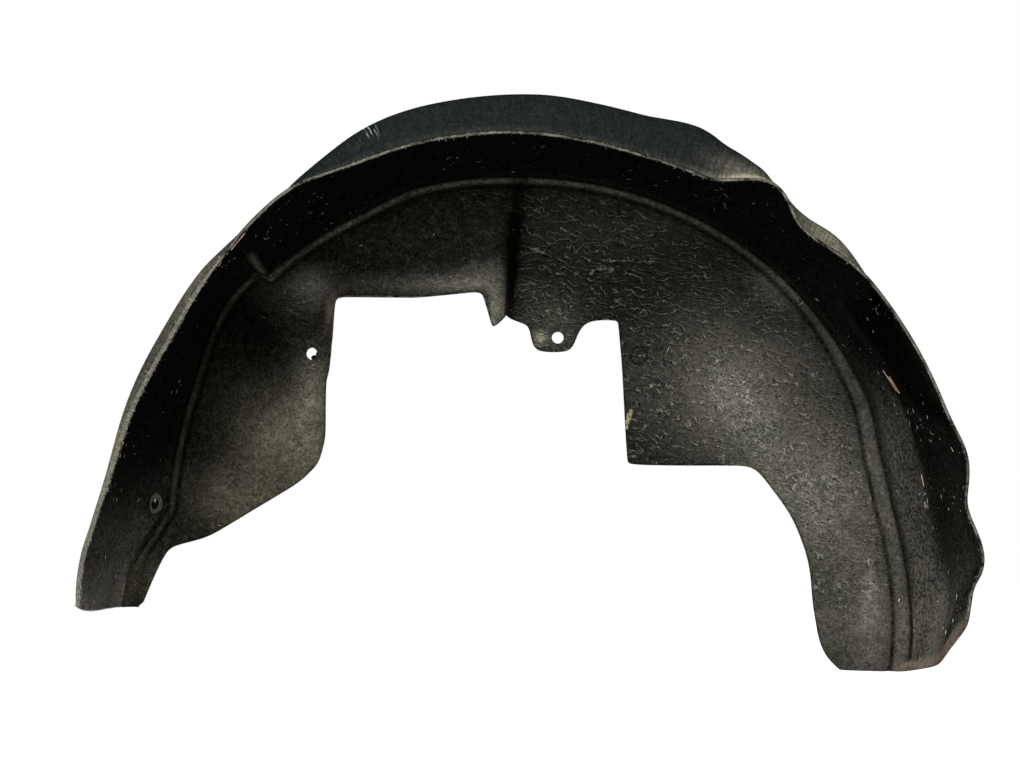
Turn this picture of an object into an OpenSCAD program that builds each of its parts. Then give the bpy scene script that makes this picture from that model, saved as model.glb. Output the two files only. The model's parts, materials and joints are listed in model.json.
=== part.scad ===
// Wheel arch liner, moulded in one piece from needled felt.
// Work is done about the wheel axis: x to the front, y inboard, z up.
// Clock angles run from the top of the arch, positive towards +x.

/* [Wheel opening] */
// Radius of the free edge about the wheel axis
opening_r = 393; // [380:1:405]
// How far the free edge wanders in and out of that radius
edge_wave = 12; // [0:1:14]
// How far the free edge is cut back along the right leg
edge_cut = 26; // [0:1:35]
// Height of the outboard lip above the free edge at the top
lip_h = 44; // [25:1:55]
// Distance of the lip's crown behind the free edge
crown_d = 42; // [30:1:60]
// Width of the flare along the free edge
flare_w = 16; // [8:1:20]

/* [Roof] */
// Distance from the free edge back to the inboard wall
liner_d = 220; // [195:1:250]
// Radius of the corner where the roof meets the inboard wall
corner_r = 391; // [380:1:400]
// How far that corner swells and narrows round the arch
corner_wave = 20; // [0:1:24]
// How far the roof stands out in the bay left of its step
bay_h = 12; // [0:1:18]
// Depth of the long chamfer down the right leg
right_chamfer = 50; // [20:1:70]
// How far that chamfer flares out from the wheel
right_flare = 22; // [0:1:28]
// Depth of the chamfer that carries the left leg's hole
left_chamfer = 46; // [20:1:60]
// How far that chamfer flares out from the wheel
left_flare = 26; // [0:1:32]
// Depth of the right leg's foot below the wheel axis
right_leg = 114; // [95:1:130]
// Depth of the left leg's foot below the wheel axis
left_leg = 44; // [34:1:60]
// Depth below the wheel axis at which the free edge ends
edge_end = 26; // [15:1:30]

/* [Corner bead] */
// Width of the bead at the top of the arch
bead_w = 11; // [6:0.5:16]
// Width of the bead down the right leg
bead_leg_w = 20; // [12:0.5:28]
// How far the bead stands proud of the wall
bead_h = 4.5; // [0:0.5:8]
// Depth of the groove beside the bead
groove_d = 1.5; // [0:0.5:3]

/* [Inboard wall] */
// How far the left panel stands proud of the right one
panel_h = 30; // [0:1:40]
// Distance of the step between the panels left of the wheel axis, at its foot
step_foot = 21; // [19:1:23]
// The same distance at the step's top
step_top = 12; // [10:1:14]
// Width of the step
step_w = 13; // [8:1:18]
// Width of the slope by which the left panel rises from the corner
slope_w = 90; // [70:1:100]
// How far the foot of the left panel curls towards the wheel
curl_h = 12; // [0:1:18]
// Height of that curl
curl_w = 32; // [20:1:40]
// How far the wall of each leg comes outboard at its foot
leg_lean = 24; // [0:1:40]
// Thickness of the felt
felt_t = 3.5; // [2:0.25:5]

/* [Cut-out and tab] */
// Distance of the cut-out's left edge from the wheel axis
cut_left = 196; // [185:1:205]
// Distance of the cut-out's right edge from the wheel axis
cut_right = 102; // [96:1:112]
// Height of the cut-out's top edge above the wheel axis
cut_top = 265; // [258:1:275]
// Height of the right panel's foot above the wheel axis
panel_foot = 94; // [80:1:110]
// How far the tooth at the panel step hangs down
tooth_h = 34; // [24:1:38]
// Width of the fixing tab
tab_w = 42; // [32:1:46]
// Length of the tab below its shoulder
tab_l = 33; // [26:1:38]
// Distance of the tab's middle from the wheel axis
tab_x = 33; // [31:1:36]
// Distance of the tab's hole from the tab's middle
tab_hole_in = 3; // [0:0.5:5]

/* [Fixing holes] */
// Diameter of the tab's hole
tab_hole_d = 12; // [6:0.5:16]
// Distance of the tab's hole above the tab's end
tab_hole_up = 15; // [11:0.5:18]
// Diameter of the left wall's hole
wall_hole_d = 12; // [6:0.5:14]
// Diameter of the left leg's hole
leg_hole_d = 12; // [6:0.5:14]
// Diameter of the pressed seats round the holes
seat_d = 20; // [18:0.5:26]
// Depth that the seats are pressed into the felt
seat_h = 1.2; // [0.4:0.1:1.6]

/* [Hidden] */

// Wander of the free edge, as [clock angle, share of edge_wave]
EDGE = [
    [-96, 0.9], [-90, 0.7], [-83, -0.1], [-76, -0.6], [-60, -0.65], [-48, 0],
    [-38, 0.8], [-33, 0.95], [-27, 0.4], [-12, 0.1], [0, -0.4], [18, -1.1],
    [22.5, -1.1], [27.4, 0.1], [30.4, 0.95], [33.2, 0.5], [34.6, -0.1], [36.6, -0.8],
    [41, -0.6], [46, -0.1], [68, -0.3], [76, 0.1], [84, -0.1], [100, 0],
];
// Cut of the edge down the right leg, as [clock angle, share of edge_cut]
CUT = [[70, 0], [75, -0.2], [81, 1], [88, -0.3], [90, -0.1], [92.6, 0.85], [95, 1]];
// Height of the lip, as [clock angle, share of lip_h]
LIP = [
    [-96, 0.12], [-84, 0.12], [-74, 0.18], [-60, 0.3], [-50, 0.28], [-40, 0.06],
    [-36, 0.02], [-32, 0.2], [-25, 0.62], [-18, 0.84], [-8, 0.92], [4, 1],
    [12, 1], [20, 1.15], [22, 1.08], [25, 0.85], [29, 0.4], [32, 0.08], [34.3, 0.26],
    [36.4, 0.45], [38.4, 0.46], [40.2, 0.55], [43, 0.44], [47, 0.22], [53, 0.05], [100, 0.05],
];
// Wander of the roof's corner, as [clock angle, share of corner_wave]
CORNER = [
    [-97, 0.5], [-91, 0], [-86, -0.9], [-82, -1.5], [-78, -1.4], [-70, -1.1],
    [-62, -0.7], [-54, -0.35], [-48, -0.2], [-40, -0.15], [-26, -0.15], [-16, 0.15],
    [0, 0], [34, 0.2], [50, 0.25], [66, 0.2], [74, -0.2], [82, -0.25], [90, 0.05],
    [106, 0.8],
];
// Chamfers of the two legs, as [clock angle, share of their depth]
RIGHT_DEPTH = [[46, 0.15], [60, 0.6], [70, 1]];
LEFT_DEPTH = [[-96, 0.3], [-86, 0.6], [-82, 1], [-78, 1], [-70, 0.2]];
// Flare of the same chamfers, as [clock angle, share of their flare]
RIGHT_RISE = [[46, 0.1], [60, 0.3], [70, 0.75], [78, 1], [90, 1], [98, 0.7], [104, 0.15]];
LEFT_RISE = [[-96, 0.25], [-87, 0.3], [-82, 1], [-78, 1], [-70, 0.15]];
// Bead's change from its top width to its leg width, and its share of bead_h
BEAD = [[40, 0], [75, 1]];
BEAD_RISE = [[-90, 0.1], [-82, 0.1], [-74, 1]];

// Value of a smooth curve through the points p at angle a, without overshoot
function secant(p, i) = (p[i + 1][1] - p[i][1]) / (p[i + 1][0] - p[i][0]);
function tangent(p, i) =
    i == 0 || i == len(p) - 1 ? 0 :
    secant(p, i - 1) * secant(p, i) <= 0 ? 0 :
    2 * secant(p, i - 1) * secant(p, i) / (secant(p, i - 1) + secant(p, i));
function hermite(t, w, v0, v1, m0, m1) =
    v0 * (1 + 2 * t) * pow(1 - t, 2) + v1 * t * t * (3 - 2 * t)
    + w * t * (1 - t) * (m0 * (1 - t) - m1 * t);
function curve(a, p, i = 0) =
    a <= p[0][0] ? p[0][1] :
    i == len(p) - 1 ? p[i][1] :
    a > p[i + 1][0] ? curve(a, p, i + 1) :
    hermite((a - p[i][0]) / (p[i + 1][0] - p[i][0]), p[i + 1][0] - p[i][0],
        p[i][1], p[i + 1][1], tangent(p, i), tangent(p, i + 1));

function clamp(t) = max(0, min(1, t));
function ease(t) = pow(clamp(t), 2) * (3 - 2 * clamp(t));
function mix(p, q, t) = p + (q - p) * t;
function bezier(t, p, q, r, s) =
    p * pow(1 - t, 3) + q * 3 * t * pow(1 - t, 2) + r * 3 * t * t * (1 - t) + s * pow(t, 3);
function unit(v) = v / norm(v);
function clock(p) = atan2(p[0], p[1]);
function polar(a, r) = [r * sin(a), r * cos(a)];

// Trimmed outline of the inboard wall as [x, z, length of bend at the corner]
shoulder_drop = 22;
tab_foot = cut_top - shoulder_drop - tab_l;
TRIM = [
    [-376, -left_leg + 5, 0],
    [-367, -left_leg + 27, 6],
    [-353, 14, 9],
    [-315, 23, 12],
    [-cut_left - 5, 93, 28],
    [-cut_left - 3, 178, 3],
    [-cut_left, 189, 3],
    [-cut_left + 4, cut_top - 1, 4],
    [-111, cut_top - 3, 5],
    [-42, cut_top + 4, 9],
    [-34, cut_top - tooth_h, 1.5],
    [-24.5, cut_top - tooth_h * 0.84, 3],
    [-18, cut_top - 19, 2],
    [tab_x - tab_w / 2 - 5, cut_top - 28, 3],
    [tab_x - tab_w / 2 - 1, tab_foot, 11],
    [tab_x + tab_w / 2 - 4, tab_foot, 9],
    [tab_x + tab_w / 2 + 7, tab_foot + tab_l, 14],
    [cut_right - 4, tab_foot + tab_l, 2],
    [cut_right + 5, panel_foot, 3],
    [239, panel_foot, 12],
    [276, 44, 16],
    [292, -5, 16],
    [293, -45, 10],
    [301, -right_leg + 14, 20],
    [320, -right_leg + 2, 0],
];

// Bends take at most a share of each side that they join, and wide ones have more points
side_share = 0.45;
end_share = 0.9;
wide_bend = 8;
function span(p, q) = norm([q[0] - p[0], q[1] - p[1]]);
function flat(p) = [p[0], p[1]];
function bend(p, q, s, w, n) = let (
    reach = min(w, side_share * span(p, q), (s[2] == 0 ? end_share : side_share) * span(q, s)),
    start = flat(q) + unit(flat(p) - flat(q)) * reach,
    end = flat(q) + unit(flat(s) - flat(q)) * reach
) [for (k = [0 : n]) mix(mix(start, flat(q), k / n), mix(flat(q), end, k / n), k / n)];
rounded = [
    flat(TRIM[0]),
    for (i = [1 : len(TRIM) - 2])
        each bend(TRIM[i - 1], TRIM[i], TRIM[i + 1], TRIM[i][2], TRIM[i][2] > wide_bend ? 2 : 1),
    flat(TRIM[len(TRIM) - 1]),
];

// Clock angles between stations, as [from, to, widest step]; elsewhere plain_step
FINE = [[-48, -38, 2.2], [-6, 2, 1], [25.5, 40, 1.6], [18, 48, 2.2]];
plain_step = 3.6;
function station_step(a, i = 0) =
    i == len(FINE) ? plain_step :
    a > FINE[i][0] && a < FINE[i][1] ? FINE[i][2] :
    station_step(a, i + 1);
trim = [
    rounded[0],
    for (i = [1 : len(rounded) - 1]) let (
        a = clock(rounded[i]),
        n = max(1, ceil((a - clock(rounded[i - 1])) / station_step(a - 1)))
    ) for (k = [1 : n]) mix(rounded[i - 1], rounded[i], k / n),
];
stations = len(trim);

// Below leg_turn the stations fan out to meet each leg's foot, which a point s,
// given as [radius, depth], reaches at its own clock angle
leg_turn = 80;
foot_share_d = 0.86;
foot_d = liner_d * foot_share_d;
foot_bow = 0.48;
function foot_share(depth) = pow(clamp((depth - edge_cut) / (foot_d - edge_cut)), foot_bow);
function foot_z(leg, s) = mix(edge_end, leg, foot_share(s[1]));
function foot_angle(leg, s) = 90 + asin(foot_z(leg, s) / s[0]);
function fan(a, end, last) = leg_turn + (a - leg_turn) * (end - leg_turn) / (last - leg_turn);
function turn(a, s) =
    a > leg_turn ? fan(a, foot_angle(right_leg, s), clock(trim[stations - 1])) :
    a < -leg_turn ? -fan(-a, foot_angle(left_leg, s), -clock(trim[0])) :
    a;

// Clock angles between which the legs lean, the left panel rises and the bay
// begins and ends
LEAN = [68, 108];
PANEL = [-66, -30];
BAY = [-64, -46];
BAY_STEP = [-43.5, -41.5];
function ramp(v, span) = ease((v - span[0]) / (span[1] - span[0]));

// Depth of the inboard wall's wheel side at a place on it
slope_r = corner_r - bead_w * 2;
curl_z = cut_top - curl_w * 0.2;
curl_ends = [-cut_left - 30, -cut_left + 30];
function step_x(z) = -mix(step_foot, step_top, (z - cut_top) / (slope_r - cut_top));
function wall_y(p) = let (
    proud = panel_h * ramp(norm(p), [slope_r, slope_r - slope_w]),
    curl = curl_h * ramp(p[1], [curl_z + curl_w, curl_z]) * ramp(p[0], curl_ends),
    panel = ramp(clock(p), PANEL) * (1 - ramp(p[0] - step_x(p[1]), [0, step_w]))
) liner_d - leg_lean * ramp(abs(clock(p)), LEAN) - (proud + curl) * panel;

// Clock angle at the corner of the line that leaves the outline at p: radial, or
// along the step where the panels meet, which stands at step_clock
step_clock = -3;
step_near = 3;
step_far = 11;
function lead(p) = let (
    a = clock(p),
    beside_step = ramp(abs(a - step_clock), [step_far, step_near])
) mix(a, clock([p[0] - step_x(p[1]) + step_x(slope_r), slope_r]), beside_step);

// Radii and depths of the lines that run round the arch
function edge_at(a) = opening_r + edge_wave * curve(a, EDGE);
function edge_y(a) = edge_cut * curve(a, CUT);
function crown_at(a) = edge_at(a) + lip_h * curve(a, LIP);
function corner_at(a) = corner_r + corner_wave * curve(a, CORNER);
function bay(a) = bay_h * ramp(a, BAY) * (1 - ramp(a, BAY_STEP));
function bead(a) = mix(bead_w, bead_leg_w, curve(a, BEAD));
least_chamfer = 9;
least_flare = 3;
function chamfer(a) = max(least_chamfer,
    a > 0 ? right_chamfer * curve(a, RIGHT_DEPTH) : left_chamfer * curve(a, LEFT_DEPTH));
function flare(a) = max(least_flare,
    a > 0 ? right_flare * curve(a, RIGHT_RISE) : left_flare * curve(a, LEFT_RISE));

// Section across the arch at station angle a, as [radius, depth] from edge to groove
lip_rows = [0, 0.1, 0.28, 0.5, 0.72, 0.86, 1];
rise_share = 0.4;
lip_share = 0.3;
roof_rows = [0.2, 0.4, 0.6, 0.8, 1];
crown_share = 0.4;
brow_share = [0.3, 0.35];
bead_form = [[0.3, 1], [0.7, 0.9]];
least_lip_d = 22;
groove_w = 6;
function section(a) = let (
    e = turn(a, [opening_r, 0]),
    c = turn(a, [opening_r, crown_d]),
    k = turn(a, [corner_r, liner_d]),
    edge = [edge_at(e), edge_y(e)],
    crown = [crown_at(c), max(crown_d, edge[1] + least_lip_d)],
    rise = min(flare_w, rise_share * (crown[1] - edge[1])),
    corner = [corner_at(k) + bay(k), wall_y(polar(k, corner_at(k)))],
    brow = corner + [flare(k), -chamfer(k)],
    b = bead(k),
    h = bead_h * curve(k, BEAD_RISE)
) [
    for (t = lip_rows)
        bezier(t, edge, edge + [0, rise],
            [crown[0], mix(edge[1], crown[1], lip_share)], crown),
    for (t = roof_rows)
        bezier(t, crown, crown + [0, (brow[1] - crown[1]) * crown_share],
            brow + [(crown[0] - brow[0]) * brow_share[0], (crown[1] - brow[1]) * brow_share[1]], brow),
    corner,
    for (s = bead_form) corner - [b * s[0], h * s[1]],
    corner + [-b, groove_d],
    corner + [-b - groove_w, 0],
];

// Rows across the wall lie a pitch apart where it is deep, and the last ones reach
// on to the outline
wall_rows = 9;
last_rows = 3;
row_pitch = 12;
function wall_row(k, depth) = let (near = wall_rows - last_rows)
    depth < wall_rows * row_pitch ? k / wall_rows :
    k < near ? k * row_pitch / depth :
    mix(near * row_pitch / depth, 1, (k - near) / last_rows);
function place(a, s) = [s[0] * sin(a), s[1], s[0] * cos(a)];
function ring(i) = let (
    a = lead(trim[i]),
    arch = [for (s = section(a)) place(turn(a, s), s)],
    top = [arch[len(arch) - 1][0], arch[len(arch) - 1][2]]
) [
    each arch,
    for (k = [1 : wall_rows]) let (p = mix(top, trim[i], wall_row(k, norm(trim[i] - top))))
        [p[0], wall_y(p), p[1]],
];
skin = [for (i = [0 : stations - 1]) ring(i)];
rows = len(skin[0]);

// Outer face of the felt, one thickness away from the wheel side. Down the legs,
// where the free edge runs inboard, the roof's rows say which way the arch goes.
leg_start = 70;
least_mitre = 0.6;
function guide(i, j) = abs(clock(trim[i])) > leg_start ? max(j, len(lip_rows)) : j;
function along(i, j) =
    skin[min(stations - 1, i + 1)][guide(i, j)] - skin[max(0, i - 1)][guide(i, j)];
function side(i, j, k) = unit(cross(along(i, j), skin[i][max(j, k)] - skin[i][min(j, k)]));
function outward(i, j) = let (
    before = side(i, j, j == 0 ? 1 : j - 1),
    after = side(i, j, j == rows - 1 ? j - 1 : j + 1),
    n = unit(before + after)
) n / max(least_mitre, n * before);
shell = [
    for (i = [0 : stations - 1])
        [for (j = [0 : rows - 1]) skin[i][j] + felt_t * outward(i, j)]
];

function inner(i, j) = i * rows + j;
function outer(i, j) = stations * rows + i * rows + j;
function patch(p, q, r, s) = [[p, r, q], [p, s, r]];

module felt_shell() {
    polyhedron(
        points = [each [for (s = skin) each s], each [for (s = shell) each s]],
        faces = [
            for (i = [0 : stations - 2]) for (j = [0 : rows - 2]) each patch(
                inner(i, j), inner(i, j + 1), inner(i + 1, j + 1), inner(i + 1, j)),
            for (i = [0 : stations - 2]) for (j = [0 : rows - 2]) each patch(
                outer(i, j), outer(i + 1, j), outer(i + 1, j + 1), outer(i, j + 1)),
            for (i = [0 : stations - 2]) each patch(
                inner(i, 0), inner(i + 1, 0), outer(i + 1, 0), outer(i, 0)),
            for (i = [0 : stations - 2]) each patch(
                inner(i, rows - 1), outer(i, rows - 1), outer(i + 1, rows - 1), inner(i + 1, rows - 1)),
            for (j = [0 : rows - 2]) each patch(
                inner(0, j), outer(0, j), outer(0, j + 1), inner(0, j + 1)),
            for (j = [0 : rows - 2]) let (n = stations - 1) each patch(
                inner(n, j), inner(n, j + 1), outer(n, j + 1), outer(n, j)),
        ],
        convexity = 8);
}

// Fixing holes, each as [place on the wheel side, direction through the felt]
function wall_normal(p) = unit([
    wall_y(p - [1, 0]) - wall_y(p + [1, 0]), 2, wall_y(p - [0, 1]) - wall_y(p + [0, 1])]);
function on_wall(p) = [[p[0], wall_y(p), p[1]], wall_normal(p)];
tab_hole = on_wall([tab_x + tab_hole_in, tab_foot + tab_hole_up]);
hole_z = 206;
wall_hole_out = 18;
mark_out = 19;
wall_hole = on_wall([-cut_left - wall_hole_out, hole_z]);
blind_mark = on_wall([cut_right + mark_out, hole_z]);
leg_hole_a = -81;
leg_hole_share = 0.7;
leg_hole = let (
    k = len(lip_rows) + len(roof_rows),
    s = section(leg_hole_a),
    middle = mix(s[k - 1], s[k], leg_hole_share),
    along = unit(s[k] - s[k - 1]),
    a = turn(leg_hole_a, middle)
) [place(a, middle), [along[1] * sin(a), -along[0], along[1] * cos(a)]];
origin = tab_hole[0];

module through(hole) {
    translate(hole[0])
        rotate([0, acos(hole[1][2]), atan2(hole[1][1], hole[1][0])])
            children();
}
module bore(d) {
    translate([0, 0, -felt_t * 2]) cylinder(h = felt_t * 5, d = d, $fn = 48);
}
module seat(h) {
    translate([0, 0, h - felt_t * 3]) cylinder(h = felt_t * 3, d = seat_d, $fn = 48);
}

module liner() {
    color("#3a3933") translate(-origin) difference() {
        felt_shell();
        through(tab_hole) bore(tab_hole_d);
        through(wall_hole) {
            bore(wall_hole_d);
            seat(seat_h);
        }
        through(leg_hole) {
            bore(leg_hole_d);
            seat(seat_h);
        }
        through(blind_mark) seat(seat_h);
    }
}

liner();
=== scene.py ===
import json
import math

import bmesh
import bpy
import numpy as np
from mathutils import Matrix, Vector, noise
from mathutils.bvhtree import BVHTree
from mathutils.kdtree import KDTree


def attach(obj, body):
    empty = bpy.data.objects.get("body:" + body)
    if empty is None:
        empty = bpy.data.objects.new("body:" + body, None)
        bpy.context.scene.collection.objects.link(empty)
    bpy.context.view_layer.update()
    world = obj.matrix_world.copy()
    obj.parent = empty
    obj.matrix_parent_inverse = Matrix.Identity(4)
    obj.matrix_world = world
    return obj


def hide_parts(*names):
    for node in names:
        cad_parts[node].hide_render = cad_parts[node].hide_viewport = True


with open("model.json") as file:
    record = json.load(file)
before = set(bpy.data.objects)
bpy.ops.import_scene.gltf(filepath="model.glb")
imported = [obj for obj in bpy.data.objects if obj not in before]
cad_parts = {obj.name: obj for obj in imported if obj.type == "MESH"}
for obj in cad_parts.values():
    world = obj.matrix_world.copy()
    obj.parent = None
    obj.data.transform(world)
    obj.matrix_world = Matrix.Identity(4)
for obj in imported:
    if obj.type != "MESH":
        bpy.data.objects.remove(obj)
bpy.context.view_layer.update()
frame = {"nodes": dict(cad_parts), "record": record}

# A wheel arch liner of needled felt, in metres: x runs to the front of the car, y
# inboard and z up.
scene = bpy.context.scene
scene.view_settings.view_transform = "Standard"


# The camera stands outboard of the wheel, low and a little to the left of the
# arch's middle, and looks inboard along the wheel axis. Its lens is the one
# that gives the picture's perspective at 1020 by 764 pixels.
picture_w = 1020
focal_px = 1659
sensor_w = 36
camera_yaw = math.radians(-4.58)
camera_pitch = math.radians(2.69)
camera_place = (-0.184, -1.680, -0.125)
camera_data = bpy.data.cameras.new("camera")
camera_data.sensor_width = sensor_w
camera_data.lens = sensor_w * focal_px / picture_w
camera = bpy.data.objects.new("camera", camera_data)
camera.location = camera_place
camera.rotation_euler = (math.pi / 2 + camera_pitch, 0, camera_yaw)
scene.collection.objects.link(camera)
scene.camera = camera


# The studio: a pale floor well below the liner, which hangs as it does on the car,
# white surroundings, and soft lamps in front, overhead and behind. The camera sees
# the surroundings as white, but they light the felt only a little.
class Socket:
    """A shader socket. Arithmetic on it adds Math nodes to its tree."""

    core = 0.35        # share of a thin line's half width that has its full strength

    def __init__(self, tree, socket=None):
        self.tree = tree
        self.socket = socket

    def node(self, kind, settings, inputs, output=0):
        """One output of a new node, whose sockets get the values or links given."""
        made = self.tree.nodes.new("ShaderNode" + kind)
        for name, value in settings.items():
            setattr(made, name, value)
        for key, value in inputs.items():
            if isinstance(value, Socket):
                self.tree.links.new(value.socket, made.inputs[key])
            else:
                made.inputs[key].default_value = value
        return Socket(self.tree, made.outputs[output] if made.outputs else None)

    def maths(self, operation, *values):
        return self.node("Math", {"operation": operation}, dict(enumerate(values)))

    def __add__(self, other):
        return self.maths("ADD", self, other)

    def __radd__(self, other):
        return self.maths("ADD", other, self)

    def __sub__(self, other):
        return self.maths("SUBTRACT", self, other)

    def __rsub__(self, other):
        return self.maths("SUBTRACT", other, self)

    def __mul__(self, other):
        return self.maths("MULTIPLY", self, other)

    def __rmul__(self, other):
        return self.maths("MULTIPLY", other, self)

    def ramp(self, low, high):
        """0 below low, 1 above high and a soft step between; falls where high is the lower one."""
        settings = {"interpolation_type": "SMOOTHSTEP"}
        if low < high:
            return self.node("MapRange", settings, {0: self, 1: low, 2: high, 3: 0.0, 4: 1.0})
        return self.node("MapRange", settings, {0: self, 1: high, 2: low, 3: 1.0, 4: 0.0})

    def most(self, other):
        return self.maths("MAXIMUM", self, other)

    def least(self, other):
        return self.maths("MINIMUM", self, other)

    def size(self):
        return self.maths("ABSOLUTE", self)

    def mix(self, first, second):
        """The first colour where this is 0 and the second where it is 1."""
        return self.node("Mix", {"data_type": "RGBA"}, {0: self, 6: first, 7: second}, 2)

    def texture(self, scale, detail, rough):
        """Noise from 0 to 1 that is read at this place."""
        return self.node("TexNoise", {}, {
            "Vector": self, "Scale": scale, "Detail": detail, "Roughness": rough})

    def scaled(self, x, y, z):
        return self.node("Mapping", {"vector_type": "POINT"}, {"Vector": self, "Scale": (x, y, z)})

    def attribute(self, name, output="Fac"):
        return self.node("Attribute", {"attribute_name": name}, {}, output)

    def moved(self, reach, scale):
        """This place, moved to and fro by noise."""
        drift = self.node("TexNoise", {}, {"Vector": self, "Scale": scale, "Detail": 2.0}, "Color")
        push = (reach, reach, reach)
        return self.node("VectorMath", {"operation": "MULTIPLY_ADD"}, {0: drift, 1: push, 2: self})

    def threads(self, level, width):
        """Thin wriggling lines at this place, where noise passes a level."""
        return (self.texture(1.0, 1.0, 0.5) - level).size().ramp(width, width * self.core)

    def fraction(self):
        return self.maths("FRACT", self)

    def cracks(self, width):
        """Lines between cells at this place, as in dried mud."""
        cells = {"Vector": self, "Scale": 1.0}
        reach = self.node("TexVoronoi", {"feature": "DISTANCE_TO_EDGE"}, cells, "Distance")
        return reach.ramp(width, width * self.core)

    def strands(self, turn, length, width, share):
        """Short straight fibres at this place: 1 on a fibre, 0 beside it. A share of the cells has one."""
        by_angles = {"rotation_type": "EULER_XYZ"}
        turned = self.node("VectorRotate", by_angles, {"Vector": self, "Rotation": turn})
        cells = {"Vector": turned.scaled(1 / length, 1 / width, 1 / width), "Scale": 1.0}
        reach = self.node("TexVoronoi", {"feature": "F1"}, cells, "Distance")
        lot = self.node("TexVoronoi", {"feature": "F1"}, cells, "Color")
        return reach.ramp(0.28, 0.1) * lot.ramp(1 - share, 1.05 - share)


def looked_at(tree):
    """1 for what the camera sees, in gloss and through glass too; 0 for the light that reaches the felt."""
    seen = tree.node("LightPath", {}, {}, "Is Camera Ray")
    for ray in ("Is Glossy Ray", "Is Transmission Ray"):
        seen = seen.most(tree.node("LightPath", {}, {}, ray))
    return seen


world = bpy.data.worlds.new("surroundings")
scene.world = world
world.use_nodes = True
world.node_tree.nodes.clear()
sky = Socket(world.node_tree)
ambient = sky.node("Background", {}, {"Color": (0.9, 0.95, 1, 1), "Strength": 0.07})
white = sky.node("Background", {}, {"Color": (1, 1, 1, 1), "Strength": 1.0})
surround = sky.node("MixShader", {}, {0: looked_at(sky), 1: ambient, 2: white})
sky.node("OutputWorld", {}, {"Surface": surround})

floor_z = -0.40
floor_size = 30
floor_fade = (0.9, 2.4)        # over these distances the floor turns as white as what is behind it
floor_paint = bpy.data.materials.new("floor_paint")
floor_paint.use_nodes = True
floor_paint.node_tree.nodes.clear()
floor = Socket(floor_paint.node_tree)
matt = floor.node("BsdfDiffuse", {}, {"Color": (0.3, 0.3, 0.3, 1)})
glow = floor.node("Emission", {}, {"Color": (1, 1, 1, 1), "Strength": 0.93})
lit = floor.node("AddShader", {}, {0: matt, 1: glow})
away = floor.node("Emission", {}, {"Color": (1, 1, 1, 1), "Strength": 1.0})
floor_place = floor.node("TexCoord", {}, {}, "Object")
distance = floor.node("VectorMath", {"operation": "LENGTH"}, {0: floor_place}, "Value")
shown_floor = floor.node("MixShader", {}, {0: distance.ramp(*floor_fade), 1: lit, 2: away})
surface = floor.node("MixShader", {}, {0: looked_at(floor), 1: matt, 2: shown_floor})
floor.node("OutputMaterial", {}, {"Surface": surface})
form = bmesh.new()
bmesh.ops.create_grid(form, x_segments=1, y_segments=1, size=floor_size / 2)
bmesh.ops.translate(form, verts=form.verts, vec=(0, 0, floor_z))
floor_mesh = bpy.data.meshes.new("floor")
form.to_mesh(floor_mesh)
form.free()
floor_mesh.materials.append(floor_paint)
floor_piece = bpy.data.objects.new("floor", floor_mesh)
scene.collection.objects.link(floor_piece)

# Each lamp's name, place, size and power
lamp_aim = Vector((0, 0, 0))
for name, place, size, power in (
    ("lamp_front", (-0.55, -2.55, 0.75), 1.8, 92),
    ("lamp_overhead", (-0.1, -0.7, 2.2), 1.6, 16),
    ("lamp_behind", (0.5, 2.5, 0.9), 1.8, 60),
):
    lamp_data = bpy.data.lights.new(name, "AREA")
    lamp_data.size = size
    lamp_data.energy = power
    lamp = bpy.data.objects.new(name, lamp_data)
    lamp.location = place
    lamp.rotation_euler = (lamp_aim - Vector(place)).to_track_quat("-Z", "Y").to_euler()
    scene.collection.objects.link(lamp)


# The liner is one sheet of needled felt, pressed to shape in a hot mould and
# die-cut round its edge. Its solid is copied, its flat triangles are joined and
# smoothed, and the cut edges stay square, as the die leaves them.
wheel_axis = Vector((-0.036, -0.220, -0.225))
tyre_middle = wheel_axis + Vector((0, 0.08, 0))
weld = 2e-5
flat_angle = math.radians(40)        # triangles that turn by less than this become one face
cut_angle = math.radians(55)         # an edge as sharp as this parts two sides of the sheet
kind_angle = math.radians(35)        # the same, where a cut face meets a skin
cut_crease = 0.75
smooth_levels = 2
skin_area = 0.02                     # square metres, which only the two skins exceed
felt_depth = 0.008                   # a ray that runs further inside the felt began on a cut face
ray_start = 1e-5
bead_zone = (0.15, 0.352)            # depth and radius beyond which the bead is never a cut face
bead_slope = 0.5                     # the bead's faces lean along the arc by less than this
seat_sizes = (0.016, 0.023)          # widths of the pressed seats round the holes
OUTER, INNER, CUT = 0, 1, 2
form = bmesh.new()
form.from_mesh(frame["nodes"]["liner"].data)
bmesh.ops.remove_doubles(form, verts=form.verts, dist=weld)
bmesh.ops.dissolve_degenerate(form, edges=form.edges, dist=weld)
bmesh.ops.join_triangles(
    form, faces=form.faces, angle_face_threshold=flat_angle, angle_shape_threshold=math.pi)
for edge in form.edges:
    edge.smooth = len(edge.link_faces) < 2 or edge.calc_face_angle() < cut_angle

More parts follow.
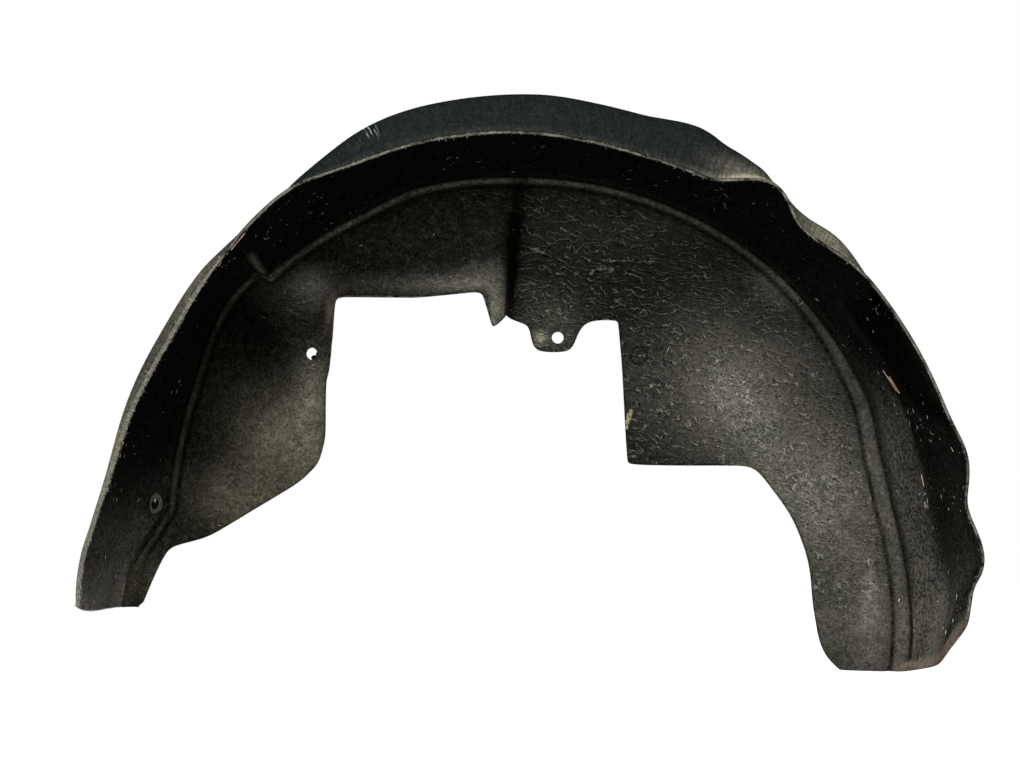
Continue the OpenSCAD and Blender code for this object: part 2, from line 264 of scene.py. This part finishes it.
# Sharp edges part the sheet into its inner side, towards the wheel, its outer side
# and its cut faces, from which a ray runs a long way inside the felt. The pressed
# seats round the holes belong to the inner side.
felt_tree = BVHTree.FromBMesh(form)
side_layer = form.faces.layers.int.new("side")
for face in form.faces:
    face.tag = False
for first in form.faces:
    if first.tag:
        continue
    first.tag = True
    region = [first]
    for face in region:
        for edge in face.edges:
            for beyond in edge.link_faces:
                if edge.smooth and not beyond.tag:
                    beyond.tag = True
                    region.append(beyond)
    area = sum(face.calc_area() for face in region)
    turned = sum(
        face.calc_area() * face.normal.dot(tyre_middle - face.calc_center_median()) for face in region)
    extent = np.ptp(np.array([corner.co for face in region for corner in face.verts]), axis=0).max()
    if area > skin_area:
        kind = INNER if turned > 0 else OUTER
    else:
        kind = INNER if seat_sizes[0] < extent < seat_sizes[1] else CUT
    for face in region:
        face[side_layer] = kind
        if area > skin_area:
            centre = face.calc_center_median()
            x, y, z = centre - wheel_axis
            far_out = math.hypot(x, z)
            along_arc = abs(face.normal.x * z - face.normal.z * x) / far_out
            on_bead = y > bead_zone[0] and far_out > bead_zone[1] and z > 0 and along_arc < bead_slope
            hit = felt_tree.ray_cast(centre - face.normal * ray_start, -face.normal)
            if hit[3] is not None and hit[3] > felt_depth and not on_bead:
                face[side_layer] = CUT
crease = form.edges.layers.float.new("crease_edge")
for edge in form.edges:
    if len(edge.link_faces) == 2:
        kinds = {face[side_layer] for face in edge.link_faces}
        edge.smooth = edge.smooth and (len(kinds) == 1 or edge.calc_face_angle() < kind_angle)
        edge[crease] = 0 if edge.smooth else cut_crease

liner_mesh = bpy.data.meshes.new("liner_felt")
form.to_mesh(liner_mesh)
form.free()
for polygon in liner_mesh.polygons:
    polygon.use_smooth = True
liner = bpy.data.objects.new("liner_felt", liner_mesh)
scene.collection.objects.link(liner)
rounding = liner.modifiers.new("rounding", "SUBSURF")
rounding.levels = smooth_levels
rounding.render_levels = smooth_levels
bpy.context.view_layer.update()
shown = bpy.data.meshes.new_from_object(liner.evaluated_get(bpy.context.evaluated_depsgraph_get()))
liner.modifiers.clear()
liner.data = shown

# Felt is never quite true: the whole sheet wanders by up to a millimetre. The noise has a
# seed, so that every run gives the same sheet.
wander_pitch = 0.07
wander = 0.0009
wander_seed = 5
noise.seed_set(wander_seed)
for vertex in shown.vertices:
    vertex.co += wander * noise.noise_vector(vertex.co / wander_pitch)
shown.update()


# What wear and road dust have done, with some painted shade and painted highlights, is painted on
# the finished sheet by place: the clock angle from straight up towards the front of the car, the
# radius from the wheel axis, and the depth inboard of the axis' outboard end.
def read(data, name, width, kind=float):
    """One property of all the elements of a mesh, as an array."""
    values = np.empty(len(data) * width, dtype=kind)
    data.foreach_get(name, values)
    return values.reshape(-1, width) if width > 1 else values


count = len(shown.vertices)
across, depth, height = (read(shown.vertices, "co", 3) - np.array(wheel_axis)).T
radius = np.hypot(across, height)
clock = np.degrees(np.arctan2(across, height))
side = read(shown.attributes["side"].data, "value", 1, np.int32)
corner_vertex = read(shown.loops, "vertex_index", 1, np.int32)
corner_side = np.repeat(side, read(shown.polygons, "loop_total", 1, np.int32))
faces_there = np.bincount(corner_vertex, minlength=count)
inner = np.bincount(corner_vertex, weights=corner_side == INNER, minlength=count) / faces_there
cut = np.bincount(corner_vertex, weights=corner_side == CUT, minlength=count) / faces_there
outer = 1 - inner - cut

cut_points = np.flatnonzero(cut > 0.9)
cut_tree = KDTree(len(cut_points))
for index in cut_points:
    cut_tree.insert(shown.vertices[index].co, index)
cut_tree.balance()
to_cut = np.array([cut_tree.find(vertex.co)[2] for vertex in shown.vertices])


def step(value, low, high):
    """0 below low, 1 above high and a soft step between; falls where high is the lower one."""
    share = np.clip((value - low) / (high - low), 0, 1)
    return share * share * (3 - 2 * share)


def patches(places):
    """Sum of soft patches, each given by its place across and up, half sizes, tilt and strength."""
    total = np.zeros(count)
    for x, z, half_x, half_z, tilt, strength in places:
        c, s = math.cos(math.radians(tilt)), math.sin(math.radians(tilt))
        along = ((across - x) * c + (height - z) * s) / half_x
        over = ((height - z) * c - (across - x) * s) / half_z
        total += strength * np.exp(-(along ** 2 + over ** 2))
    return total


# The corner where the roof meets the inboard wall, as clock angles and radii. At the
# upper left a bay stands further out and ends in a step.
corner_clock = (-97, -91, -86, -82, -78, -70, -62, -54, -48, -26, -16, 0, 34, 50, 66, 74, 82, 90, 106)
corner_radius = (
    0.401, 0.391, 0.373, 0.361, 0.363, 0.369, 0.377, 0.384, 0.387, 0.388, 0.394, 0.391, 0.395,
    0.396, 0.395, 0.387, 0.386, 0.392, 0.407)
bay_from, bay_full, bay_to, bay_depth = -64, -46, -42.5, 0.012
step_clock = -42.2
corner = np.interp(clock, corner_clock, corner_radius)
corner += bay_depth * step(clock, bay_from, bay_full) * (clock < bay_to)
bead_width = 0.011 + 0.009 * step(clock, 40, 75)
wall = inner * step(radius, corner + 0.003, corner - 0.001) * step(depth, 0.12, 0.14)
bead = wall * step(radius, corner - bead_width - 0.004, corner - bead_width + 0.001)
roof = inner - wall
chamfer = roof * step(depth, 0.158, 0.168) * step(clock, 58, 72)
left_leg = step(clock, -44, -56)
lip_end = 0.060 + 0.070 * left_leg
lip = outer * step(depth, lip_end, lip_end - 0.022 - 0.045 * left_leg)
left_foot = step(height, 0.020, -0.020) * (across < 0)

wall_dust = patches((
    (0.225, 0.165, 0.055, 0.080, 20, 0.54),
    (0.214, 0.165, 0.022, 0.050, 20, 0.14),
    (0.300, 0.212, 0.050, 0.045, 0, 0.11),
    (-0.368, -0.010, 0.030, 0.045, 0, 0.20),
    (-0.212, 0.170, 0.018, 0.035, 0, 0.38),
    (0.305, 0.060, 0.080, 0.095, -35, 0.56),
    (0.345, -0.075, 0.070, 0.070, 0, 0.33),
    (0.262, 0.277, 0.026, 0.016, -40, 0.40),
    (0.140, 0.165, 0.060, 0.060, 0, 0.16),
    (-0.235, 0.122, 0.056, 0.050, -60, 0.54),
    (-0.300, 0.060, 0.060, 0.030, -20, 0.28),
    (-0.088, 0.275, 0.075, 0.010, 0, 0.36),
    (-0.048, 0.282, 0.030, 0.014, 20, 0.30),
    (-0.130, 0.335, 0.100, 0.035, 0, 0.035),
    (-0.216, 0.274, 0.018, 0.017, 0, 0.50),
    (0.352, -0.045, 0.012, 0.050, -5, 0.34),
    (-0.030, 0.245, 0.014, 0.026, 0, 0.62),
    (0.030, 0.235, 0.040, 0.030, 0, 0.22),
    (0.018, 0.225, 0.008, 0.006, 0, 0.70),
    (0.100, 0.345, 0.120, 0.040, 0, 0.11),
    (-0.245, 0.268, 0.030, 0.025, 0, 0.16),
))
# Roof dust in patches. The right leg's chamfer is painted evenly lighter, a painted highlight where it
# turns towards the camera.
roof_dust_and_highlights = patches((
    (-0.397, -0.060, 0.045, 0.045, 0, 1.70),
    (-0.375, 0.010, 0.040, 0.050, 0, 0.50),
    (0.405, -0.080, 0.050, 0.060, 0, 1.15),
)) * (1 - 0.75 * chamfer) + chamfer * 0.26
roof_dust_and_highlights += 0.036 * step(clock, 36, 62) + 0.030 * step(clock, 70, 84)
# A narrow pale band along the step at the end of the bay is a painted highlight on the lit step face.
roof_dust_and_highlights += 0.90 * step(np.abs(clock - step_clock), 0.65, 0.2) * step(depth, 0.110, 0.160)
lip_dust = patches((
    (0.186, 0.3575, 0.032, 0.012, -22, 0.50),
    (0.262, 0.296, 0.050, 0.030, -45, 0.85),
    (-0.300, 0.255, 0.060, 0.120, 30, 0.50),
    (-0.390, 0.080, 0.060, 0.150, 10, 1.05),
))
edge_dust = step(to_cut, 0.0130, 0.0020) * (1 - left_leg)
lip_dust += edge_dust * (0.10 + patches(((0.192, 0.352, 0.034, 0.030, -22, 2.10),)))
# The dust amount also carries painted highlights: the bead's small share, the chamfer and the step at the
# bay's end.
dust_and_highlights = (
    wall * wall_dust * step(height, -0.16, -0.10)
    + bead * 0.05
    + roof * roof_dust_and_highlights + lip * lip_dust + (outer - lip) * 0.16)
crackle = wall * np.clip(
    step(across, -0.030, 0.005) * step(height, -0.12, 0.02) * step(radius, corner - 0.008, corner - 0.030)
    + patches((
        (-0.045, 0.368, 0.040, 0.012, 0, 0.6),
        (-0.235, 0.265, 0.025, 0.025, 0, 0.6),
        (-0.218, 0.170, 0.016, 0.070, 0, 0.45),
        (-0.075, 0.283, 0.045, 0.010, 0, 0.7),
    )), 0, 1)
curly = (
    wall * (1 - 0.6 * crackle) + roof * (0.25 + 0.5 * chamfer + 0.6 * left_foot)
    + lip * left_leg * 0.6 + (outer - lip) * 0.8)
# Painted shade: the dark step face beside the proud left panel, the left wall in the shadow of the lip and
# roof, and the seat round the leg hole.
painted_shade = np.clip(patches((
    (-0.0105, 0.315, 0.011, 0.075, -5, 1.4),
    (-0.265, 0.210, 0.040, 0.060, 0, 0.7),
    (-0.235, 0.312, 0.035, 0.014, 20, 0.6),
    (-0.275, 0.250, 0.030, 0.035, 0, 0.35),
    (-0.330, 0.085, 0.020, 0.080, -20, 0.5),
)), 0, 1) * wall
painted_shade += patches(((-0.3669, 0.0577, 0.011, 0.012, 0, 0.75),)) * inner * (1 - wall)
near_edge = step(to_cut, 0.0115, 0.0065)
stain = np.clip(near_edge * patches((
    (-0.196, 0.252, 0.010, 0.018, 0, 0.30),
    (0.396, -0.086, 0.014, 0.026, 0, 1.8),
)), 0, 1) * (1 - outer)
# Painted highlight along the bead's ridge, as if lit from above: fainter towards the right and almost none
# on the left leg.
bead_highlight = bead * (0.42 - 0.31 * step(clock, 6, 40)) * (1 - 0.9 * left_leg)
fray = cut * (0.62 + 0.38 * left_leg) + inner * roof * left_leg * step(to_cut, 0.0080, 0.0020) * 0.85
fray += lip * left_leg * step(to_cut, 0.0060, 0.0015) * 0.7
scuff = lip * patches(((-0.157, 0.400, 0.009, 0.014, 10, 0.75),))
painted = {
    "roof": roof, "lip": lip, "fray": fray, "dust_and_highlights": dust_and_highlights, "crackle": crackle, "curly": curly,
    "stain": stain, "scuff": scuff, "wall": wall, "painted_shade": painted_shade, "left_leg": left_leg, "bead": bead_highlight,
}
for name, values in painted.items():
    shown.attributes.new(name, "FLOAT", "POINT").data.foreach_set("value", values.astype(np.float32))
# The lay of the felt, and the distances from the roof corner and from the bead's groove that place the
# painted shade and painted highlight along them; the third part weakens that shade at the left foot.
for name, parts in (
    ("lay", (np.radians(clock) * 0.4, radius, depth)),
    ("pressed", (radius - corner, radius - corner + bead_width, 1 - 0.9 * left_foot)),
):
    values = np.stack(parts, axis=1).astype(np.float32)
    shown.attributes.new(name, "FLOAT_VECTOR", "POINT").data.foreach_set("vector", values.ravel())

# The felt itself: near-black polyester, a little slate where the lip was pressed
# smooth, with pale road dust in the hollows, in fine cracks and on the cut edges.
wall_black = (0.0074, 0.0078, 0.0058, 1)
roof_black = (0.0068, 0.0076, 0.0068, 1)
lip_slate = (0.0125, 0.0150, 0.0150, 1)
cool_dust = (0.188, 0.185, 0.149, 1)
warm_dust = (0.202, 0.188, 0.153, 1)
olive_dust = (0.200, 0.186, 0.132, 1)
caked_dust = (0.350, 0.320, 0.240, 1)
crack_cream = (0.400, 0.390, 0.325, 1)
cut_beige = (0.21, 0.20, 0.165, 1)
earth_stain = (0.34, 0.255, 0.195, 1)
scratch_grey = (0.40, 0.43, 0.43, 1)
rows_per_metre = 148
slant_rows_per_metre = 158
mark_centre = (0.0827, 0, -0.0185)
mark_radius = 0.0085
felt = bpy.data.materials.new("needled_felt")
felt.use_nodes = True
felt.node_tree.nodes.clear()
paint = Socket(felt.node_tree)
here = paint.node("TexCoord", {}, {}, "Object")
lay_here = paint.attribute("lay", "Vector")
at_roof, at_lip, at_fray, at_dust_and_highlights, at_crackle, at_curly, *more = (paint.attribute(name) for name in painted)
at_stain, at_scuff, at_wall, at_painted_shade, at_left, at_bead_highlight = more
past_corner, past_groove, clear = (
    paint.node("SeparateXYZ", {}, {0: paint.attribute("pressed", "Vector")}, part) for part in (0, 1, 2))

# The felt's own grain runs from fine grit to broad clouds, with streaks across the lip
grit = here.texture(560, 2, 0.6).ramp(0.34, 0.66)
speckle = here.texture(330, 2, 0.65).ramp(0.36, 0.64)
mottle = here.texture(150, 3, 0.6).ramp(0.30, 0.70)
cloud = here.texture(24, 3, 0.6)
streaks = lay_here.scaled(420, 30, 60).texture(1, 3, 0.6)

# The pressed skin has crazed into short wriggling cracks, which lie in rows, mostly
# level. Dust has filled them, and it casts a thin shade below each.
wriggly = here.moved(0.0108, 140)
run, level = (paint.node("SeparateXYZ", {}, {0: wriggly}, part) for part in (0, 2))
sway = here.scaled(20, 20, 40).texture(1, 2, 0.55)
patchy = here.scaled(40, 40, 90).texture(1, 2, 0.5).ramp(0.46, 0.56)
patchy_too = here.scaled(44, 44, 95).texture(1, 2, 0.5).ramp(0.52, 0.43)
rows = (level * rows_per_metre + sway * 6.0).fraction()
rows_too = (level * slant_rows_per_metre + run * 62 - sway * 4.5).fraction()
lines = (rows - 0.5).size().ramp(0.105, 0.035) * patchy
lines_too = (rows_too - 0.5).size().ramp(0.115, 0.040) * patchy_too
under = (rows - 0.36).size().ramp(0.17, 0.05) * patchy
under = under.most((rows_too - 0.35).size().ramp(0.18, 0.05) * patchy_too) * at_crackle
web = wriggly.scaled(90, 90, 140).cracks(0.064) * (at_dust_and_highlights - 0.45).ramp(0.0, 0.20)
crack = lines.most(lines_too).most(web) * at_crackle * (0.30 + mottle * 0.9)

# Loose curls and straight hairs lie in the pile, and pale flecks are caught in it
curl_here = here.moved(0.006, 130)
curl_mask = here.texture(120, 1, 0.5).ramp(0.46, 0.60)
curls = curl_here.scaled(210, 210, 210).threads(0.50, 0.075) * curl_mask * at_curly
fleck_cells = {"Vector": here, "Scale": 170.0}
fleck_reach = paint.node("TexVoronoi", {"feature": "F1"}, fleck_cells, "Distance")
fleck_lot = paint.node("TexVoronoi", {"feature": "F1"}, fleck_cells, "Color")
flecks = fleck_reach.ramp(0.19, 0.10) * fleck_lot.ramp(0.45, 0.95)
hairs = here.strands((0.3, 0.9, 0.2), 0.014, 0.0022, 0.30).most(
    here.strands((1.1, -0.6, 1.9), 0.018, 0.0024, 0.25))

# Painted shade darkens the creases along both sides of the bead, a painted highlight lies on the ridge
# between them, and a faint ring of painted shade lies in the seat where a blind mark was pressed into the
# right panel.
corner_line = (past_corner + 0.0018).size().ramp(0.0046, 0.0004) * (at_roof + at_wall).least(1.0)
groove_line = past_groove.size().ramp(0.0040, 0.0004) * at_wall
# The painted highlight on the bead's ridge, between the two shaded creases.
painted_ridge_highlight = (past_corner + past_groove).size().ramp(0.0170, 0.0010) * at_bead_highlight
painted_ridge_highlight = painted_ridge_highlight * (0.10 + speckle * 0.6 + mottle * 0.9)
to_mark = {0: here.scaled(1, 0, 1), 1: mark_centre}
from_mark = here.node("VectorMath", {"operation": "DISTANCE"}, to_mark, "Value")
mark_ring_shade = (from_mark - mark_radius).size().ramp(0.0032, 0.0008) * at_wall
pressed = corner_line.most(groove_line) * (0.50 + 0.45 * mottle) * clear
# All the painted shade: in the creases beside the bead, on the step face and the shaded corners, in the
# blind seat and below the cracks.
shade = (1 - pressed) * (1 - at_painted_shade * 0.85) * (1 - mark_ring_shade * 0.5) * (1 - under * 0.5)

# The dust and the painted highlights lie over the near-black felt, and the painted shade darkens both;
# the cracks, the cut edges, the stain and the scratches lie over all of it.
dusty_and_highlit = at_dust_and_highlights * (0.20 + cloud * 1.0 + mottle * 0.35) * (
    0.48 + grit * 0.55 + speckle * 0.45 + at_roof * (speckle - 0.5) * 0.7)
dusty_and_highlit = dusty_and_highlit * (1 + at_lip * (streaks - 0.5) * 2.2) + painted_ridge_highlight
pale = curls * (0.09 + 0.35 * at_dust_and_highlights) + hairs * (0.06 + 0.25 * at_dust_and_highlights + 0.06 * at_left)
dusty_and_highlit = ((dusty_and_highlit + pale) * shade + flecks * (0.55 * at_roof + 0.25 * at_dust_and_highlights + 0.06)).least(1.0)
base = at_lip.mix(at_roof.mix(wall_black, roof_black), lip_slate)
coarse = 1 - at_lip * 0.6
grain = 1 + ((grit - 0.5) * 0.75 + (speckle - 0.5) * 0.95 + (mottle - 0.5) * 0.55) * coarse
varied = grain * (1 + at_lip * (streaks - 0.5) * 1.2) * shade
levels = paint.node("CombineColor", {"mode": "RGB"}, {0: varied, 1: varied, 2: varied})
multiply = {"data_type": "RGBA", "blend_type": "MULTIPLY"}
dark = paint.node("Mix", multiply, {0: 1.0, 6: base, 7: levels}, 2)
road_dust = cloud.ramp(0.35, 0.65).mix(cool_dust, warm_dust)
road_dust = (at_left * at_wall).most(at_lip * 0.6).mix(road_dust, olive_dust)
caked = (at_lip * at_dust_and_highlights.ramp(0.6, 1.5)).mix(road_dust, caked_dust)
crack_dust = (crack * shade * (0.34 + at_dust_and_highlights * 0.72)).least(1.0)
coated = crack_dust.mix(dusty_and_highlit.mix(dark, caked), crack_cream)
uneven = lay_here.scaled(60, 200, 200).texture(1, 3, 0.6)
edged = (at_fray + (uneven - 0.5) * 0.6).ramp(0.50, 0.70) * (0.45 + grit * 0.55) * (1 - at_left * 0.15)
with_edge = edged.mix(coated, cut_beige)
stained = (at_stain * (0.4 + mottle * 0.6)).least(1.0).mix(with_edge, earth_stain)
scratched = (at_scuff * streaks.ramp(0.55, 0.7)).mix(stained, scratch_grey)
relief = grit * 0.35 + speckle * 0.45 + mottle * 0.45 + crack * 1.1 + curls * 0.3 - under * 0.9
bump = paint.node("Bump", {}, {"Height": relief, "Strength": 0.85, "Distance": 0.0007})
shader = paint.node("BsdfPrincipled", {}, {
    "Base Color": scratched, "Roughness": 0.95, "Specular IOR Level": 0.0, "Normal": bump})
paint.node("OutputMaterial", {}, {"Surface": shader})
liner.data.materials.clear()
liner.data.materials.append(felt)
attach(liner, "root")
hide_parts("liner")


# The die leaves a pale fringe of loose polyester fibres on the cut edges, and it is
# thickest where the left leg's free edge has frayed. Each fibre is a thin spike that
# starts in the felt.
fringe_count, fray_count = 2800, 260
fibre_thickness = 0.00030
fringe_reach = (0.0008, 0.0024)
long_reach = 1.9
fray_length, fray_lift = 0.0034, 0.0012
edge_root, pile_root = 0.0004, 0.0002        # how deep a fibre starts in a cut face and in the pile
lots = np.random.default_rng(11)
face_centre = read(shown.polygons, "center", 3)
face_normal = read(shown.polygons, "normal", 3)
face_area = read(shown.polygons, "area", 1)
face_vertex = corner_vertex[read(shown.polygons, "loop_start", 1, np.int32)]


def fibres(name, spikes, colours, sides=3, taper=0.33):
    """A piece of many spikes, each given as its foot, its tip and its thickness at the foot."""
    form = bmesh.new()
    batch = 120
    for start in range(0, len(spikes), batch):
        part = bmesh.new()
        for foot, tip, thickness in spikes[start:start + batch]:
            stem = tip - foot
            place = Matrix.Translation((foot + tip) / 2) @ stem.to_track_quat("Z", "X").to_matrix().to_4x4()
            bmesh.ops.create_cone(
                part, cap_ends=True, segments=sides, radius1=thickness / 2, radius2=thickness / 2 * taper,
                depth=stem.length, matrix=place)
        batch_mesh = bpy.data.meshes.new("batch")
        part.to_mesh(batch_mesh)
        part.free()
        form.from_mesh(batch_mesh)
        bpy.data.meshes.remove(batch_mesh)
    mesh = bpy.data.meshes.new(name)
    form.to_mesh(mesh)
    form.free()
    material = bpy.data.materials.new(name)
    material.use_nodes = True
    material.node_tree.nodes.clear()
    tint = Socket(material.node_tree)
    spot = tint.node("TexCoord", {}, {}, "Object")
    colour = spot.texture(90, 2, 0.6).ramp(0.35, 0.65).mix(*colours)
    dull = {"Base Color": colour, "Roughness": 0.8, "Specular IOR Level": 0.1}
    fuzz = tint.node("BsdfPrincipled", {}, dull)
    tint.node("OutputMaterial", {}, {"Surface": fuzz})
    mesh.materials.append(material)
    piece = bpy.data.objects.new(name, mesh)
    scene.collection.objects.link(piece)
    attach(piece, "root")


def lying(faces, length, lift, thickness):
    """Spikes that lie on the given faces of the felt, in any direction."""
    spikes = []
    for face in faces:
        normal = Vector(face_normal[face])
        foot = Vector(face_centre[face]) - normal * pile_root
        along = Vector(lots.normal(size=3))
        along = (along - along.dot(normal) * normal).normalized()
        size = lots.lognormal(0, 0.45)
        spikes.append((foot, foot + along * length * size + normal * lift, thickness * min(1.4, size)))
    return spikes


def drawn(weights, number):
    """Faces of the felt drawn by lot, in proportion to their area times a weight."""
    odds = face_area * weights
    return lots.choice(len(odds), size=number, p=odds / odds.sum())


fringe_spikes = []
on_free_edge = step(radius, 0.370, 0.380)[face_vertex] * (0.25 + left_leg[face_vertex])
for face in drawn((side == CUT) * (on_free_edge + 0.10), fringe_count):
    normal = Vector(face_normal[face])
    foot = Vector(face_centre[face]) - normal * edge_root
    to_wheel = wheel_axis - foot
    to_wheel.y = 0
    edge_run = to_wheel.cross(normal).normalized()
    across_edge = normal.cross(edge_run)
    lean = normal * lots.uniform(0.1, 0.8)
    lean += edge_run * lots.normal(0, 0.7)
    lean += across_edge * lots.normal(0, 0.9)
    reach = lots.uniform(*fringe_reach)
    if lots.random() < 0.06 + 0.10 * left_leg[face_vertex[face]]:
        reach *= long_reach
    fringe_spikes.append((foot, foot + lean.normalized() * reach, fibre_thickness * lots.uniform(0.7, 1.2)))
frayed = (roof * left_leg * step(to_cut, 0.012, 0.006) * step(depth, 0.10, 0.08))[face_vertex]
fringe_spikes += lying(drawn(frayed, fray_count), fray_length, fray_lift, fibre_thickness)
fibres("cut_fringe", fringe_spikes, ((0.30, 0.28, 0.23, 1), (0.50, 0.47, 0.40, 1)))


# Lint and grit have caught in the pile, most of them in drifts on the roof, where the
# wheel threw them. They are pale bits of fibre and stone that lie flat on the felt.
lint_count = 460
lint_length, lint_lift, lint_thickness = 0.0026, 0.0005, 0.00060
drifts_per_metre = 22
lint_weight = roof * (1.0 - 0.5 * left_leg + 0.5 * chamfer) + bead * 0.4 + wall * 0.12
drifts = np.array([noise.noise(vertex.co * drifts_per_metre) for vertex in shown.vertices])
lint_weight = (lint_weight * (0.08 + step(drifts, -0.05, 0.35)))[face_vertex]
lint_spikes = lying(drawn(lint_weight, lint_count), lint_length, lint_lift, lint_thickness)
fibres("lint", lint_spikes, ((0.30, 0.28, 0.24, 1), (0.85, 0.83, 0.76, 1)))


# A few bits of straw lie caught in the pile, most of them on the roof at the right,
# and a tuft of them sticks in the left leg's hole.
surface = BVHTree.FromObject(liner, bpy.context.evaluated_depsgraph_get())


def on_felt(x, y, z):
    """The nearest point of the felt to a place about the wheel axis, and its normal."""
    return surface.find_nearest(wheel_axis + Vector((x, y, z)))[:2]


def on_roof(x, y, z):
    """The first point of the felt on the way out from the wheel axis to a place, and its normal."""
    return surface.ray_cast(wheel_axis + Vector((0, y, 0)), Vector((x, 0, z)))[:2]


# Each bit's start about the wheel axis, its run across and up, how far it bows, and its
# thickness. One that starts in the edge zone lies on the free edge, and the others
# lie on the roof.
edge_zone = 0.02
bends = 5
straw_spikes = []
for x, y, z, run_x, run_z, sag, thickness in (
    (0.364, 0.150, 0.195, 0.012, -0.022, 0.0022, 0.0011),
    (0.359, 0.140, 0.184, 0.012, -0.016, -0.0018, 0.0013),
    (0.397, 0.165, 0.086, 0.007, -0.011, 0.0008, 0.0011),
    (0.399, 0.168, 0.058, 0.002, -0.006, 0.0, 0.0009),
    (0.377, 0.198, -0.040, 0.003, -0.004, 0.0005, 0.0018),
    (-0.286, 0.002, 0.278, 0.000, -0.010, 0.0, 0.0008),
    (-0.264, 0.002, 0.299, -0.010, -0.017, 0.0008, 0.0009),
    (0.384, 0.010, 0.099, 0.001, -0.003, 0.0, 0.0020),
):
    find = on_felt if y < edge_zone else on_roof
    path = []
    for bend in range(bends + 1):
        share = bend / bends
        bow = sag * 4 * share * (1 - share)
        point, normal = find(x + run_x * share + bow, y, z + run_z * share)
        path.append(point + normal * thickness * 0.4)
    straw_spikes += [(start, end, thickness) for start, end in zip(path, path[1:])]
holes = {mount["name"]: mount for mount in frame["record"]["mounts"]}
leg_middle, leg_axis = Vector(holes["leg_hole"]["pos_m"]), Vector(holes["leg_hole"]["axis"])
down = Vector((0, 0, -1))
tuft_middle = leg_middle - down * 0.0042 - leg_axis * 0.0012
straw_spikes += [
    (tuft_middle, tuft_middle + down * 0.0044 + Vector((-0.0010, 0, 0)), 0.0030),
    (tuft_middle + down * 0.0040, tuft_middle + down * 0.0078 + Vector((-0.0012, 0, 0)), 0.0012),
]
fibres("straw", straw_spikes, ((0.45, 0.31, 0.20, 1), (0.62, 0.46, 0.34, 1)), sides=6, taper=0.95)


# Torn felt half closes two of the fixing holes. Each knot is of the liner's own felt,
# dragged into its hole when a fastener was pulled out.
def lump(form, centre, axis, wide, tall, thick):
    """A knot of felt or mud, flattened along an axis."""
    made = bmesh.ops.create_icosphere(form, subdivisions=3, radius=1)["verts"]
    for vertex in made:
        vertex.co *= 1 + 0.30 * noise.noise(vertex.co * 1.9 + centre * 300)
    place = Matrix.Translation(centre) @ axis.to_track_quat("Z", "Y").to_matrix().to_4x4()
    place = place @ Matrix.Diagonal((wide / 2, tall / 2, thick / 2, 1))
    bmesh.ops.transform(form, matrix=place, verts=made)


def knots(name, lumps, material):
    """A piece made of lumps."""
    form = bmesh.new()
    for one in lumps:
        lump(form, *one)
    mesh = bpy.data.meshes.new(name)
    form.to_mesh(mesh)
    form.free()
    for polygon in mesh.polygons:
        polygon.use_smooth = True
    mesh.materials.append(material)
    piece = bpy.data.objects.new(name, mesh)
    scene.collection.objects.link(piece)
    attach(piece, "root")


wall_middle, wall_axis = Vector(holes["wall_hole"]["pos_m"]), Vector(holes["wall_hole"]["axis"])
knots("torn_felt", (
    (leg_middle + down * 0.0016, leg_axis, 0.0130, 0.0125, 0.0028),
    (leg_middle + down * 0.0010 + Vector((0.0, 0.0030, 0)), leg_axis, 0.0060, 0.0070, 0.0022),
    (wall_middle + down * 0.0042 + Vector((0.0034, 0, 0)), wall_axis, 0.0080, 0.0060, 0.0024),
    (wall_middle + Vector((0.0052, 0, -0.001)), wall_axis, 0.0030, 0.0060, 0.0020),
), felt)


# Crumbs of dry mud stick to the felt beside the cut-out's right edge. They are olive
# clay, pressed flat as they dried.
mud = bpy.data.materials.new("dry_mud")
mud.use_nodes = True
mud.node_tree.nodes.clear()
clay = Socket(mud.node_tree)
clay_here = clay.node("TexCoord", {}, {}, "Object")
clay_mottle = clay_here.texture(500, 3, 0.6).ramp(0.35, 0.65)
clay_tint = clay_mottle.mix((0.10, 0.10, 0.06, 1), (0.36, 0.35, 0.21, 1))
clay_grain = clay_here.texture(900, 3, 0.6)
clay_bump = clay.node("Bump", {}, {"Height": clay_grain, "Strength": 0.6, "Distance": 0.0004})
clay_shader = clay.node("BsdfPrincipled", {}, {
    "Base Color": clay_tint, "Roughness": 0.95, "Specular IOR Level": 0.1, "Normal": clay_bump})
clay.node("OutputMaterial", {}, {"Surface": clay_shader})
crumb_depth, crumb_thick = 0.215, 0.0007
crumbs = []
for x, z, wide, tall in (
    (0.1105, 0.1490, 0.0040, 0.0060), (0.1085, 0.1445, 0.0050, 0.0066), (0.1070, 0.1390, 0.0046, 0.0070),
    (0.1060, 0.1335, 0.0030, 0.0050), (0.1095, 0.1420, 0.0030, 0.0040),
):
    point, normal = on_felt(x, crumb_depth, z)
    crumbs.append((point, normal, wide, tall, crumb_thick))
knots("mud_crumbs", crumbs, mud)
